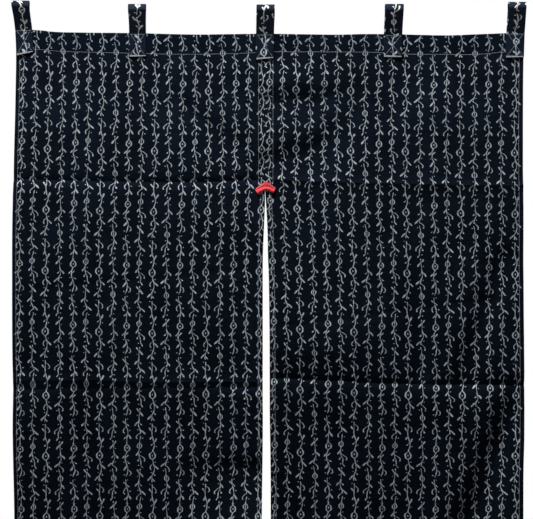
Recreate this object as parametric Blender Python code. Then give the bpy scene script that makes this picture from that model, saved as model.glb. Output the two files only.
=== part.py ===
# Split doorway curtain: two printed cotton panels under one heading, hung by five tabs.
# Metres, +Z up. X runs along the rod line and the front of the cloth looks towards -Y.
# The origin is at the top of the centre tab, in the middle of the cloth's thickness.

import math

import bpy
import numpy as np

# Cloth and sewing allowances
cloth_thickness = 0.0010
hem_thickness = 0.0018
heading_hem = 0.034
bottom_hem = 0.020
slit_hem = 0.009
side_hem = 0.006
hem_step = 0.0012
piece_gap = 0.0003

# Hung sizes
bottom_z = -0.950
slit_top_z = -0.311
seam_x = 0.0
front_y = -hem_thickness / 2

# Tabs, each a strip folded over a rod that is not part of the curtain
tab_thickness = 0.0018
rod_space_radius = 0.0125
tab_arc_steps = 14
tab_column_count = 3

# Steps of the sheets' grids
row_step = 0.024
crease_row_step = 0.0065
crease_reach = 0.0195
column_count = 17

# One row for each tab, left to right: middle at its top and at its foot, how far it bows to the
# right between them, top, top edge of the heading there, length sewn over the heading, how far its
# right foot corner is cut higher, and its width at its top and at its foot
tab_columns = (
    "name", "top_x", "foot_x", "bow", "top_z", "heading_z", "lap", "foot_rise", "top_width",
    "foot_width",
)
tab_rows = (
    ("tab_1", -0.4066, -0.3988, 0.0013, 0.0065, -0.0412, 0.0408, 0.0050, 0.0296, 0.0284),
    ("tab_2", -0.2127, -0.2118, 0.0003, 0.0010, -0.0474, 0.0394, 0.0, 0.0296, 0.0286),
    ("tab_3", 0.0007, -0.0005, -0.0003, 0.0, -0.0484, 0.0422, 0.0020, 0.0302, 0.0300),
    ("tab_4", 0.2144, 0.2119, -0.0007, 0.0010, -0.0492, 0.0384, -0.0010, 0.0310, 0.0308),
    ("tab_5", 0.4180, 0.4140, -0.0002, 0.0045, -0.0470, 0.0411, 0.0, 0.0293, 0.0304),
)

# Top edge of the heading, which sags between the tabs
heading_columns = ("x", "z")
heading_rows = (
    (-0.4250, -0.0404),
    (-0.3990, -0.0412),
    (-0.3720, -0.0430),
    (-0.3480, -0.0455),
    (-0.3100, -0.0466),
    (-0.2120, -0.0474),
    (-0.1650, -0.0487),
    (-0.1150, -0.0496),
    (-0.0550, -0.0490),
    (0.0, -0.0484),
    (0.0500, -0.0491),
    (0.1150, -0.0501),
    (0.1700, -0.0490),
    (0.2120, -0.0492),
    (0.2600, -0.0504),
    (0.3050, -0.0510),
    (0.3480, -0.0494),
    (0.4000, -0.0475),
    (0.4350, -0.0463),
)

# Edges of the panels at some heights: the outer edge, and the edge at the seam or slit
edge_columns = ("z", "outer_x", "inner_x")
left_edges = (
    (-0.040, -0.4146, -0.00016),
    (-0.090, -0.4137, -0.00016),
    (-0.140, -0.4144, -0.00016),
    (-0.192, -0.4154, -0.00016),
    (-0.245, -0.4170, -0.00016),
    (-0.298, -0.4182, -0.00018),
    (-0.318, -0.4188, -0.0003),
    (-0.335, -0.4192, -0.0006),
    (-0.361, -0.4197, -0.0014),
    (-0.390, -0.4201, -0.0027),
    (-0.424, -0.4202, -0.0039),
    (-0.530, -0.4202, -0.0041),
    (-0.590, -0.4197, -0.0041),
    (-0.640, -0.4184, -0.0042),
    (-0.697, -0.4192, -0.0039),
    (-0.756, -0.4184, -0.0044),
    (-0.822, -0.4172, -0.0053),
    (-0.950, -0.4165, -0.0063),
)
right_edges = (
    (-0.040, 0.4303, 0.00016),
    (-0.085, 0.4289, 0.00016),
    (-0.138, 0.4281, 0.00016),
    (-0.270, 0.4280, 0.00017),
    (-0.300, 0.4284, 0.00020),
    (-0.311, 0.4285, 0.00024),
    (-0.320, 0.4286, 0.0002),
    (-0.335, 0.4287, 0.0011),
    (-0.350, 0.4287, 0.0021),
    (-0.380, 0.4287, 0.0037),
    (-0.424, 0.4287, 0.0045),
    (-0.460, 0.4290, 0.0058),
    (-0.510, 0.4294, 0.0066),
    (-0.565, 0.4300, 0.0071),
    (-0.620, 0.4307, 0.0073),
    (-0.690, 0.4307, 0.0074),
    (-0.723, 0.4302, 0.0080),
    (-0.776, 0.4287, 0.0088),
    (-0.822, 0.4282, 0.0090),
    (-0.950, 0.4277, 0.0094),
)

# The cloth's relief, as soft ridges and troughs along straight lines: both ends of the line, the
# half width to the left and to the right of it as it runs, and the push towards the front at each
# end (a trough's push is negative). Rows with one name after each other are one bent fold.
fold_columns = (
    "name", "side", "x_1", "z_1", "x_2", "z_2", "left_width", "right_width", "push_1", "push_2"
)
fold_rows = (
    ("upper packing crease", "left", -0.004, -0.2915, -0.050, -0.2930, 0.011, 0.011, 0.0, -0.0032),
    ("upper packing crease", "left", -0.050, -0.2930, -0.460, -0.2915, 0.011, 0.011, -0.0032, -0.0034),
    ("upper packing crease", "right", 0.004, -0.2910, 0.050, -0.2925, 0.012, 0.012, 0.0, 0.0026),
    ("upper packing crease", "right", 0.050, -0.2925, 0.460, -0.3010, 0.012, 0.012, 0.0026, 0.0028),
    ("lower packing crease", "left", -0.460, -0.6235, 0.030, -0.6270, 0.013, 0.011, 0.0028, 0.0028),
    ("lower packing crease", "right", -0.030, -0.6185, 0.460, -0.6330, 0.012, 0.012, -0.0042, -0.0046),
    ("left shoulder drag", "both", -0.146, -0.166, -0.050, -0.235, 0.018, 0.036, -0.0032, -0.0042),
    ("right shoulder drag", "both", 0.014, -0.264, 0.060, -0.252, 0.024, 0.050, -0.0066, -0.0068),
    ("right shoulder drag", "both", 0.060, -0.252, 0.096, -0.236, 0.024, 0.050, -0.0068, -0.0068),
    ("right shoulder drag", "both", 0.096, -0.236, 0.148, -0.184, 0.024, 0.050, -0.0068, -0.0034),
    ("right heading ridge", "both", 0.014, -0.128, 0.100, -0.126, 0.018, 0.020, 0.0036, 0.002),
    ("right heading drag", "both", 0.014, -0.166, 0.090, -0.162, 0.018, 0.040, -0.0026, -0.003),
    ("right heading drag", "both", 0.090, -0.162, 0.168, -0.144, 0.018, 0.040, -0.003, -0.0016),
    ("right upper swell", "right", 0.282, -0.170, 0.300, -0.190, 0.040, 0.040, 0.0034, 0.003),
    ("right slit swell", "right", 0.060, -0.560, 0.100, -0.570, 0.095, 0.085, 0.010, 0.010),
    ("left slit curl", "left", -0.004, -0.370, -0.004, -0.740, 0.024, 0.024, 0.004, 0.004),
    ("left hem dimple", "left", -0.118, -0.774, -0.010, -0.772, 0.020, 0.034, -0.0034, -0.0054),
    ("left hem swell", "left", -0.095, -0.884, -0.004, -0.874, 0.046, 0.060, 0.0095, 0.0135),
    ("left corner curl", "left", -0.422, -0.800, -0.418, -0.950, 0.020, 0.024, -0.002, -0.0065),
    ("right edge drag", "right", 0.401, -0.400, 0.396, -0.425, 0.024, 0.020, -0.001, -0.0046),
    ("right edge drag", "right", 0.396, -0.425, 0.348, -0.566, 0.024, 0.020, -0.0046, -0.006),
    ("right edge drag", "right", 0.348, -0.566, 0.330, -0.622, 0.024, 0.020, -0.006, -0.006),
    ("right middle drag", "right", 0.248, -0.470, 0.262, -0.612, 0.015, 0.014, -0.001, -0.005),
    ("right corner drag", "right", 0.416, -0.655, 0.384, -0.738, 0.030, 0.023, -0.0075, -0.0118),
    ("right corner drag", "right", 0.384, -0.738, 0.340, -0.868, 0.032, 0.028, -0.0118, -0.015),
    ("right corner swell", "right", 0.424, -0.820, 0.428, -0.950, 0.040, 0.040, 0.003, 0.007),
    ("first left flute", "left", -0.372, -0.330, -0.365, -0.950, 0.042, 0.042, 0.0, 0.0062),
    ("second left flute", "left", -0.285, -0.350, -0.272, -0.950, 0.045, 0.045, 0.0, -0.0058),
    ("third left flute", "left", -0.190, -0.360, -0.168, -0.950, 0.048, 0.048, 0.0, 0.007),
    ("first right flute", "right", 0.048, -0.580, 0.060, -0.950, 0.040, 0.040, 0.0, -0.005),
    ("second right flute", "right", 0.132, -0.600, 0.146, -0.950, 0.044, 0.044, 0.0, 0.0072),
    ("third right flute", "right", 0.226, -0.600, 0.232, -0.950, 0.040, 0.040, 0.0, -0.0044),
    ("first heading ripple", "left", -0.310, -0.045, -0.300, -0.200, 0.055, 0.055, 0.0014, 0.0004),
    ("second heading ripple", "left", -0.108, -0.045, -0.112, -0.180, 0.050, 0.050, -0.0013, -0.0003),
    ("third heading ripple", "right", 0.110, -0.045, 0.104, -0.120, 0.050, 0.050, 0.0013, 0.0004),
    ("fourth heading ripple", "right", 0.312, -0.045, 0.318, -0.200, 0.055, 0.055, -0.0012, -0.0003),
)

# The tack at the top of the slit, across its arched band: upper edge, lower edge, thickness
tack_columns = ("x_top", "z_top", "x_low", "z_low", "thickness")
tack_rows = (
    (-0.0166, -0.3086, -0.0118, -0.3150, 0.0020),
    (-0.0134, -0.3046, -0.0086, -0.3126, 0.0030),
    (-0.0077, -0.3012, -0.0042, -0.3096, 0.0034),
    (-0.0034, -0.2960, -0.0018, -0.3078, 0.0038),
    (0.0004, -0.2942, 0.0006, -0.3071, 0.0040),
    (0.0048, -0.2964, 0.0034, -0.3076, 0.0038),
    (0.0104, -0.3002, 0.0074, -0.3094, 0.0034),
    (0.0150, -0.3028, 0.0112, -0.3112, 0.0030),
    (0.0174, -0.3046, 0.0140, -0.3122, 0.0020),
)
tack_sides = 12
tack_end_scale = 0.55
tack_end_reach = 0.0008


def table(columns, rows):
    """Each row as a dictionary by its column's name."""
    return [dict(zip(columns, row)) for row in rows]


tabs = table(tab_columns, tab_rows)
folds = table(fold_columns, fold_rows)


def clear_scene():
    for old in list(bpy.data.objects):
        bpy.data.objects.remove(old, do_unlink=True)


def cloth_material(name, colour, roughness):
    material = bpy.data.materials.new(name)
    material.use_nodes = True
    shader = material.node_tree.nodes["Principled BSDF"]
    shader.inputs["Base Color"].default_value = (*colour, 1.0)
    shader.inputs["Roughness"].default_value = roughness
    shader.inputs["Metallic"].default_value = 0.0
    material.diffuse_color = (*colour, 1.0)
    return material


def fold_push(fold, x, z):
    """The push of one fold at a place."""
    run_x = fold["x_2"] - fold["x_1"]
    run_z = fold["z_2"] - fold["z_1"]
    along = ((x - fold["x_1"]) * run_x + (z - fold["z_1"]) * run_z) / (run_x**2 + run_z**2)
    along = min(max(along, 0.0), 1.0)
    away_x = x - fold["x_1"] - along * run_x
    away_z = z - fold["z_1"] - along * run_z
    off = math.hypot(away_x, away_z)
    if off == 0.0:
        leftward = 0.0
    else:
        leftward = (run_x * away_z - run_z * away_x) / (math.hypot(run_x, run_z) * off)
    width = (fold["left_width"] + fold["right_width"]) / 2
    width += (fold["left_width"] - fold["right_width"]) / 2 * leftward
    push = fold["push_1"] + (fold["push_2"] - fold["push_1"]) * along
    return push * math.exp(-((off / width) ** 2))


def push_at(x, z, side):
    """How far the cloth stands forward at this place, from every fold that reaches it."""
    pushes = {}
    for fold in folds:
        if fold["side"] in ("both", side):
            push = fold_push(fold, x, z)
            pushes[fold["name"]] = max(pushes.get(fold["name"], 0.0), push, key=abs)
    return sum(pushes.values())


def front_at(x, z, side):
    """Y of the cloth's front face."""
    return front_y - push_at(x, z, side)


def curve_at(places, values, place):
    """A value on the smooth curve through a table's rows, whose places rise."""
    place = min(max(place, places[0]), places[-1])
    after = next(index for index in range(1, len(places)) if place <= places[index])
    before = after - 1
    span = places[after] - places[before]
    share = (place - places[before]) / span
    slopes = []
    for index in (before, after):
        low = max(index - 1, 0)
        high = min(index + 1, len(places) - 1)
        slopes.append((values[high] - values[low]) / (places[high] - places[low]) * span)
    start = values[before] * (1 + 2 * share) * (1 - share) ** 2 + slopes[0] * share * (1 - share) ** 2
    end = values[after] * share**2 * (3 - 2 * share) + slopes[1] * share**2 * (share - 1)
    return start + end


def heading_top(x):
    """Height of the heading's top edge."""
    return curve_at([row[0] for row in heading_rows], [row[1] for row in heading_rows], x)


def edge_at(edges, z, column):
    """X of one of a panel's edges at a height."""
    places = [-row[0] for row in edges]
    return curve_at(places, [row[edge_columns.index(column)] for row in edges], -z)


def crease_heights(side):
    """Heights of the packing creases in the middle of their last rows."""
    heights = {}
    for fold in folds:
        if fold["side"] == side and fold["name"].endswith("packing crease"):
            heights[fold["name"]] = (fold["z_1"] + fold["z_2"]) / 2
    return list(heights.values())


def row_drops(side):
    """Distances below the top edge of the grid's rows: hems, close rows at creases, even rows."""
    top = sum(tab["heading_z"] for tab in tabs) / len(tabs)
    height = top - bottom_z
    fixed = [0.0, heading_hem / 2, heading_hem, heading_hem + hem_step]
    fixed += [height - bottom_hem - hem_step, height - bottom_hem, height - bottom_hem / 2, height]
    fixed.append(top - slit_top_z)
    crease_rows = round(crease_reach / crease_row_step)
    for crease_z in crease_heights(side):
        for step in range(-crease_rows, crease_rows + 1):
            fixed.append(top - crease_z + step * crease_row_step)
    fixed.sort()
    drops = []
    for start, end in zip(fixed, fixed[1:]):
        parts = max(1, round((end - start) / row_step))
        drops += [start + (end - start) * part / parts for part in range(parts)]
    drops.append(height)
    spaced = [drops[0]]
    for drop in drops[1:]:
        if drop - spaced[-1] > hem_step / 2:
            spaced.append(drop)
    return [drop / height for drop in spaced]


def column_places(width):
    """Distances from a panel's outer edge of the grid's columns, close together at the hems."""
    inner = np.linspace(side_hem + hem_step, width - slit_hem - hem_step, column_count)
    ends = [0.0, side_hem], [width - slit_hem, width]
    return [place / width for place in [*ends[0], *inner, *ends[1]]]


def grid_faces(row_count, columns):
    faces = []
    for row in range(row_count - 1):
        for column in range(columns - 1):
            first = row * columns + column
            faces.append((first, first + columns, first + columns + 1, first + 1))
    return faces


def sheet_object(name, points, faces, material, thickness, weights=()):
    """A sheet of faces thickened behind them, by each point's share of the full thickness."""
    mesh = bpy.data.meshes.new(name)
    mesh.from_pydata(points, [], faces)
    mesh.materials.append(material)
    sheet = bpy.data.objects.new(name, mesh)
    bpy.context.collection.objects.link(sheet)
    solidify = sheet.modifiers.new("Thickness", "SOLIDIFY")
    solidify.thickness = thickness
    solidify.offset = -1.0
    if weights:
        group = sheet.vertex_groups.new(name="thickness")
        for index, weight in enumerate(weights):
            group.add([index], weight, "REPLACE")
        solidify.vertex_group = group.name
    mesh.shade_smooth()
    return sheet


def make_panel(name, side, edges, material):
    """One cloth panel: heading hem, slit hem, side hem and bottom hem are thicker strips of it."""
    width = abs(edges[0][1] - edges[0][2])
    drops = row_drops(side)
    places = column_places(width)
    if side == "right":
        places = [1 - place for place in reversed(places)]
    thin = cloth_thickness / hem_thickness
    height = heading_top(0.0) - bottom_z
    points = []
    weights = []
    for drop in drops:
        for place in places:
            level = heading_top(seam_x) + (bottom_z - heading_top(seam_x)) * drop
            outer = edge_at(edges, level, "outer_x")
            inner = edge_at(edges, level, "inner_x")
            left, right = (outer, inner) if side == "left" else (inner, outer)
            x = left + (right - left) * place
            top = heading_top(x)
            z = top + (bottom_z - top) * drop
            points.append((x, front_at(x, z, side), z))
            from_outer = (place if side == "left" else 1 - place) * width
            in_hem = (
                drop * height < heading_hem + hem_step / 2
                or (1 - drop) * height < bottom_hem + hem_step / 2
                or from_outer < side_hem + hem_step / 2
                or width - from_outer < slit_hem + hem_step / 2
            )
            weights.append(1.0 if in_hem else thin)
    faces = grid_faces(len(drops), len(places))
    return sheet_object(name, points, faces, material, hem_thickness, weights)


def tab_profile(tab):
    """The tab's inner face from its front foot, over the rod space, to its back foot, as (y, z)
    pairs measured from the heading's middle."""
    centre_z = tab["top_z"] - tab_thickness - rod_space_radius
    heading_z = tab["heading_z"]
    foot_z = heading_z - tab["lap"]
    leg_y = hem_thickness / 2 + piece_gap
    drop = centre_z - heading_z
    reach = math.hypot(drop, leg_y)
    lean = math.asin(rod_space_radius / reach) - math.atan2(leg_y, drop)
    tangent_z = centre_z + rod_space_radius * math.sin(lean)
    tangent_y = rod_space_radius * math.cos(lean)
    leg = [(leg_y, foot_z + (heading_z - foot_z) * part / 3) for part in range(4)]
    rise = [
        (leg_y + (tangent_y - leg_y) * part / 4, heading_z + (tangent_z - heading_z) * part / 4)
        for part in range(1, 4)
    ]
    half = leg + rise
    front = [(-y, z) for y, z in half]
    arc = []
    for step in range(tab_arc_steps + 1):
        angle = math.pi - lean + (2 * lean - math.pi) * step / tab_arc_steps
        arc.append((rod_space_radius * math.cos(angle), centre_z + rod_space_radius * math.sin(angle)))
    back = [(y, z) for y, z in reversed(half)]
    return front + arc + back


def make_tab(tab, material):
    """A strip folded over the rod space, with both feet lapped over the heading."""
    foot_z = tab["heading_z"] - tab["lap"]
    side = "left" if tab["foot_x"] < seam_x else "right"
    profile = tab_profile(tab)
    points = []
    for y, z in profile:
        share = (z - foot_z) / (tab["top_z"] - foot_z)
        middle = tab["foot_x"] + (tab["top_x"] - tab["foot_x"]) * share
        middle += tab["bow"] * 4 * share * (1 - share)
        on_leg = max(0.0, 1 - share * 2)
        for column in range(tab_column_count):
            across = column / (tab_column_count - 1) - 0.5
            width = tab["foot_width"] + (tab["top_width"] - tab["foot_width"]) * share
            x = middle + across * width
            raised = z + across * tab["foot_rise"] * on_leg
            points.append((x, y - push_at(x, min(z, tab["heading_z"]), side), raised))
    faces = grid_faces(len(profile), tab_column_count)
    return sheet_object(tab["name"], points, faces, material, tab_thickness)


def make_tack(name, material):
    """A flat bundle of thread, arched across the top of the slit."""
    rows = table(tack_columns, tack_rows)
    middle_y = front_y - piece_gap - max(row["thickness"] for row in rows) / 2
    rings = []
    for index, row in enumerate(rows):
        rings.append((row, 1.0, 0.0))
        if index == 0:
            rings.insert(0, (row, tack_end_scale, -tack_end_reach))
        if index == len(rows) - 1:
            rings.append((row, tack_end_scale, tack_end_reach))
    points = []
    for row, scale, shift in rings:
        centre_x = (row["x_top"] + row["x_low"]) / 2 + shift
        centre_z = (row["z_top"] + row["z_low"]) / 2
        half_x = (row["x_top"] - row["x_low"]) / 2 * scale
        half_z = (row["z_top"] - row["z_low"]) / 2 * scale
        relief = push_at(centre_x, centre_z, "right")
        for side in range(tack_sides):
            angle = 2 * math.pi * side / tack_sides
            up = math.cos(angle)
            out = math.sin(angle) * row["thickness"] / 2 * scale
            points.append((centre_x + half_x * up, middle_y - relief - out, centre_z + half_z * up))
    faces = []
    for ring in range(len(rings) - 1):
        for side in range(tack_sides):
            after = (side + 1) % tack_sides
            first = ring * tack_sides
            second = first + tack_sides
            faces.append((first + side, first + after, second + after, second + side))
    faces.append(tuple(reversed(range(tack_sides))))
    faces.append(tuple(range(len(points) - tack_sides, len(points))))
    mesh = bpy.data.meshes.new(name)
    mesh.from_pydata(points, [], faces)
    mesh.materials.append(material)
    mesh.shade_smooth()
    tack = bpy.data.objects.new(name, mesh)
    bpy.context.collection.objects.link(tack)
    return tack


def main():
    clear_scene()
    navy_cotton = cloth_material("navy_cotton", (0.012, 0.018, 0.028), 0.9)
    red_thread = cloth_material("red_thread", (0.52, 0.035, 0.045), 0.6)
    make_panel("panel_left", "left", left_edges, navy_cotton)
    make_panel("panel_right", "right", right_edges, navy_cotton)
    for tab in tabs:
        make_tab(tab, navy_cotton)
    make_tack("slit_tack", red_thread)


main()
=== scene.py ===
import math

import bpy
import numpy as np
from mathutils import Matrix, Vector


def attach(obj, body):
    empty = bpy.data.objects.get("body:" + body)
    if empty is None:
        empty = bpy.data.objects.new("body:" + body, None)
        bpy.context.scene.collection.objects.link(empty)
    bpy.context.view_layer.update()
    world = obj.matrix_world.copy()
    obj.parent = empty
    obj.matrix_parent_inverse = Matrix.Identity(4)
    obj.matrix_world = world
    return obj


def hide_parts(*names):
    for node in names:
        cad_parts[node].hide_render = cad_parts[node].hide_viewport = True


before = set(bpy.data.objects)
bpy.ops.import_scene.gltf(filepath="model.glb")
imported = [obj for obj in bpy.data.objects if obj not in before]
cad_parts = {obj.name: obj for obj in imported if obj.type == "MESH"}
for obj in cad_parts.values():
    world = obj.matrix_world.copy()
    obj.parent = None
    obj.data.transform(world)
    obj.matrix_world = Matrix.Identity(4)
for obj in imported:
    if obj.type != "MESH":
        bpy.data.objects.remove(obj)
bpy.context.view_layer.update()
print("frame loaded:", len(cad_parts), "nodes")


# Shared helpers

white = (1.0, 1.0, 1.0, 1.0)


def table(columns, rows):
    return [dict(zip(columns, row)) for row in rows]


def linearColour(hexCode):
    levels = [int(hexCode[place:place + 2], 16) / 255 for place in (1, 3, 5)]
    linear = [c / 12.92 if c <= 0.04045 else ((c + 0.055) / 1.055) ** 2.4 for c in levels]
    return (*linear, 1.0)


def addNode(tree, kind, settings=None, links=None):
    node = tree.nodes.new("ShaderNode" + kind)
    for name, value in (settings or {}).items():
        setattr(node, name, value)
    for socket, value in (links or {}).items():
        if isinstance(value, bpy.types.Node):
            value = value.outputs[0]
        if isinstance(value, bpy.types.NodeSocket):
            tree.links.new(value, node.inputs[socket])
        else:
            node.inputs[socket].default_value = value
    return node


def newMaterial(name):
    material = bpy.data.materials.new(name)
    material.use_nodes = True
    material.node_tree.nodes.clear()
    return material, material.node_tree


# lay is each point's place on the flat cloth in metres, kept as a UV map for the print and weave
def addPiece(name, points, faces, materials, faceMaterials=None, lay=None):
    mesh = bpy.data.meshes.new(name)
    mesh.from_pydata(points, [], faces)
    for material in materials:
        mesh.materials.append(material)
    if faceMaterials is not None:
        mesh.polygons.foreach_set("material_index", np.asarray(faceMaterials, np.int32))
    if lay is not None:
        corners = np.empty(len(mesh.loops), np.int32)
        mesh.loops.foreach_get("vertex_index", corners)
        layer = mesh.uv_layers.new(name="clothLay")
        layer.uv.foreach_set("vector", np.asarray(lay, np.float32)[corners].ravel())
    mesh.shade_smooth()
    piece = bpy.data.objects.new(name, mesh)
    bpy.context.scene.collection.objects.link(piece)
    print(name, sum(len(face) - 2 for face in faces), "triangles")
    return piece


# A tube's faces: its walls from ring to ring, then the flat faces that close its two ends
def tubeFaces(ringCount, sides, start=0):
    ring = np.arange(ringCount - 1)[:, None] * sides + start
    side = np.arange(sides)[None, :]
    after = (side + 1) % sides
    walls = np.stack([ring + side, ring + after, ring + sides + after, ring + sides + side], -1)
    last = start + (ringCount - 1) * sides
    ends = [list(range(start, start + sides))[::-1], list(range(last, last + sides))]
    return walls.reshape(-1, 4).tolist() + ends


# Length along a line of points up to each of them
def runAlong(line):
    steps = np.linalg.norm(np.diff(line, axis=0), axis=1)
    return np.concatenate([[0.0], np.cumsum(steps)])


def unitRows(rows):
    return rows / np.linalg.norm(rows, axis=1)[:, None]


def smoothStep(value, low, high):
    share = np.clip((value - low) / (high - low), 0.0, 1.0)
    return share * share * (3 - 2 * share)


# Camera and stage

camera = {
    "distance": 3.2,  # in front of the cloth, far enough for the photograph's flat view
    "aimX": 0.0021,
    "aimZ": -0.4233,
    "frameWidth": 0.8848,  # what the photograph's width covers at the cloth
    "sensor": 36.0,
    "clipEnd": 50.0,
}

stage = {
    "floorZ": -1.02,
    "floorHalfWidth": 3.0,
    "floorFront": -3.4,
    "floorBack": 0.86,  # ends here, so that the front view shows plain white as the photograph does
    "floorColour": "#E4E2DE",
    "floorShade": 0.96,
    "floorRoughness": 0.9,
    "floorSpeckle": 60.0,
    "skyLight": 0.08,
}

lampColumns = ("name", "place", "aim", "size", "watts", "colour")
lampRows = (
    ("keyLamp", (-0.55, -0.75, 2.00), (0.0, 0.0, -0.40), 0.60, 182.0, "#FFFDFA"),
    ("fillLamp", (0.60, -2.80, -0.10), (0.0, 0.0, -0.45), 1.20, 8.0, "#F6F9FF"),
    ("backLamp", (0.90, 2.10, 0.50), (0.0, 0.0, -0.45), 1.20, 46.0, "#FFFFFF"),
)


def aimAt(thing, target):
    thing.rotation_euler = (Vector(target) - thing.location).to_track_quat("-Z", "Y").to_euler()


def makeCamera():
    lens = bpy.data.cameras.new("photoCamera")
    lens.sensor_width = camera["sensor"]
    lens.lens = camera["sensor"] * camera["distance"] / camera["frameWidth"]
    lens.clip_end = camera["clipEnd"]
    seat = bpy.data.objects.new("photoCamera", lens)
    seat.location = (camera["aimX"], -camera["distance"], camera["aimZ"])
    aimAt(seat, (camera["aimX"], 0.0, camera["aimZ"]))
    bpy.context.scene.collection.objects.link(seat)
    bpy.context.scene.camera = seat


def makeStage():
    material, tree = newMaterial("paintedPlasterFloor")  # matt, so the floor takes only a soft shade
    speckle = addNode(tree, "TexNoise", None, {"Scale": stage["floorSpeckle"], "Detail": 3.0})
    tone = addNode(tree, "ValToRGB", None, {"Fac": speckle.outputs["Fac"]})
    pale = linearColour(stage["floorColour"])
    tone.color_ramp.elements[0].color = [level * stage["floorShade"] for level in pale]
    tone.color_ramp.elements[1].color = pale
    shader = addNode(tree, "BsdfPrincipled", None, {
        "Base Color": tone, "Roughness": stage["floorRoughness"],
    })
    addNode(tree, "OutputMaterial", None, {"Surface": shader})
    half = stage["floorHalfWidth"]
    corners = [
        (-half, stage["floorFront"], stage["floorZ"]),
        (half, stage["floorFront"], stage["floorZ"]),
        (half, stage["floorBack"], stage["floorZ"]),
        (-half, stage["floorBack"], stage["floorZ"]),
    ]
    floor = addPiece("floor", corners, [(0, 1, 2, 3)], [material])
    floor.visible_diffuse = False  # its bounce would light the folds from below
    for lamp in table(lampColumns, lampRows):
        light = bpy.data.lights.new(lamp["name"], "AREA")
        light.size = lamp["size"]
        light.energy = lamp["watts"]
        light.color = linearColour(lamp["colour"])[:3]
        holder = bpy.data.objects.new(lamp["name"], light)
        holder.location = lamp["place"]
        aimAt(holder, lamp["aim"])
        holder.visible_camera = False
        bpy.context.scene.collection.objects.link(holder)


def makeWorld():
    world = bpy.data.worlds.new("softStudio")
    world.use_nodes = True
    tree = world.node_tree
    tree.nodes.clear()
    rays = addNode(tree, "LightPath")
    glow = addNode(tree, "Background", None, {"Color": white, "Strength": stage["skyLight"]})
    paper = addNode(tree, "Background", None, {"Color": white, "Strength": 1.0})
    seen = addNode(tree, "MixShader", None, {0: rays.outputs["Is Camera Ray"], 1: glow, 2: paper})
    addNode(tree, "OutputWorld", None, {"Surface": seen})
    bpy.context.scene.world = world
    bpy.context.scene.view_settings.view_transform = "Standard"


# The cloth's shape, as the solids have it

curtain = {
    "bottomZ": -0.950,
    "slitTopZ": -0.311,
    "frontY": -0.0009,
    "clothThickness": 0.0008,
    "hemThickness": 0.0017,
    "headingHem": 0.0340,
    "bottomHem": 0.0200,
    "sideHem": 0.0076,
    "hemStep": 0.0012,  # over this the hem's folded edge thins down to single cloth
    "foldedEdge": 0.0011,  # how far past its stitches the slit's or seam's hem reaches
    "besideStitches": 0.0012,  # the grid has a line this close to each line of stitches
    "outsideStitches": 0.0010,
    "slitEase": 0.012,  # above and below the slit's top, over which its hem becomes the seam's
    "rimRadius": 0.0009,
    "rimSteps": (0.0, 0.06, 0.25, 0.6, 1.0),
    "rimSlack": 0.000009,  # so that rounding leaves no point of the rim out
    "seamRim": 0.35,  # the sewn seam is drawn in tighter than a free folded edge
    "gridStep": 0.0033,
}

tabColumns = (
    "name", "node", "topX", "footX", "topZ", "headingZ", "lap", "footRise",
    "topWidth", "neckWidth", "footWidth", "printShift", "backSplay", "bow",
)
tabRows = (
    (
        "tab1", "tab_1", -0.4066, -0.3988, 0.0065, -0.0412, 0.0408, 0.0050,
        0.0296, 0.0279, 0.0288, 0.0010, -0.0020, 0.0013,
    ),
    (
        "tab2", "tab_2", -0.2127, -0.2118, 0.0010, -0.0474, 0.0394, 0.0,
        0.0297, 0.0278, 0.0290, 0.0011, -0.0006, 0.0003,
    ),
    (
        "tab3", "tab_3", 0.0007, -0.0005, 0.0, -0.0484, 0.0422, 0.0020,
        0.0302, 0.0300, 0.0304, -0.0012, 0.0006, -0.0003,
    ),
    (
        "tab4", "tab_4", 0.2144, 0.2119, 0.0010, -0.0492, 0.0384, -0.0010,
        0.0310, 0.0305, 0.0312, 0.0006, 0.0008, -0.0007,
    ),
    (
        "tab5", "tab_5", 0.4180, 0.4140, 0.0045, -0.0470, 0.0411, 0.0,
        0.0293, 0.0299, 0.0306, 0.0004, 0.0012, -0.0002,
    ),
)

# Top edge of the heading, which sags between the tabs, as x and z
headingRows = (
    (-0.4250, -0.0404), (-0.3990, -0.0412), (-0.3720, -0.0430), (-0.3480, -0.0455),
    (-0.3100, -0.0466), (-0.2120, -0.0474), (-0.1650, -0.0487), (-0.1150, -0.0496),
    (-0.0550, -0.0490), (0.0, -0.0484), (0.0500, -0.0491), (0.1150, -0.0501),
    (0.1700, -0.0490), (0.2120, -0.0492), (0.2600, -0.0504), (0.3050, -0.0510),
    (0.3480, -0.0494), (0.4000, -0.0475), (0.4350, -0.0463),
)

# How far below that edge the heading hem is stitched, which was sewn by eye, as x and drop
headingLineRows = {
    "left": (
        (-0.425, 0.0325), (-0.372, 0.0322), (-0.335, 0.0322), (-0.280, 0.0331),
        (-0.185, 0.0339), (-0.112, 0.0335), (-0.058, 0.0331), (0.0, 0.0322),
    ),
    "right": (
        (0.0, 0.0312), (0.050, 0.0306), (0.103, 0.0296), (0.160, 0.0304), (0.200, 0.0318),
        (0.243, 0.0330), (0.298, 0.0321), (0.352, 0.0336), (0.389, 0.0316), (0.435, 0.0310),
    ),
}

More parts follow.
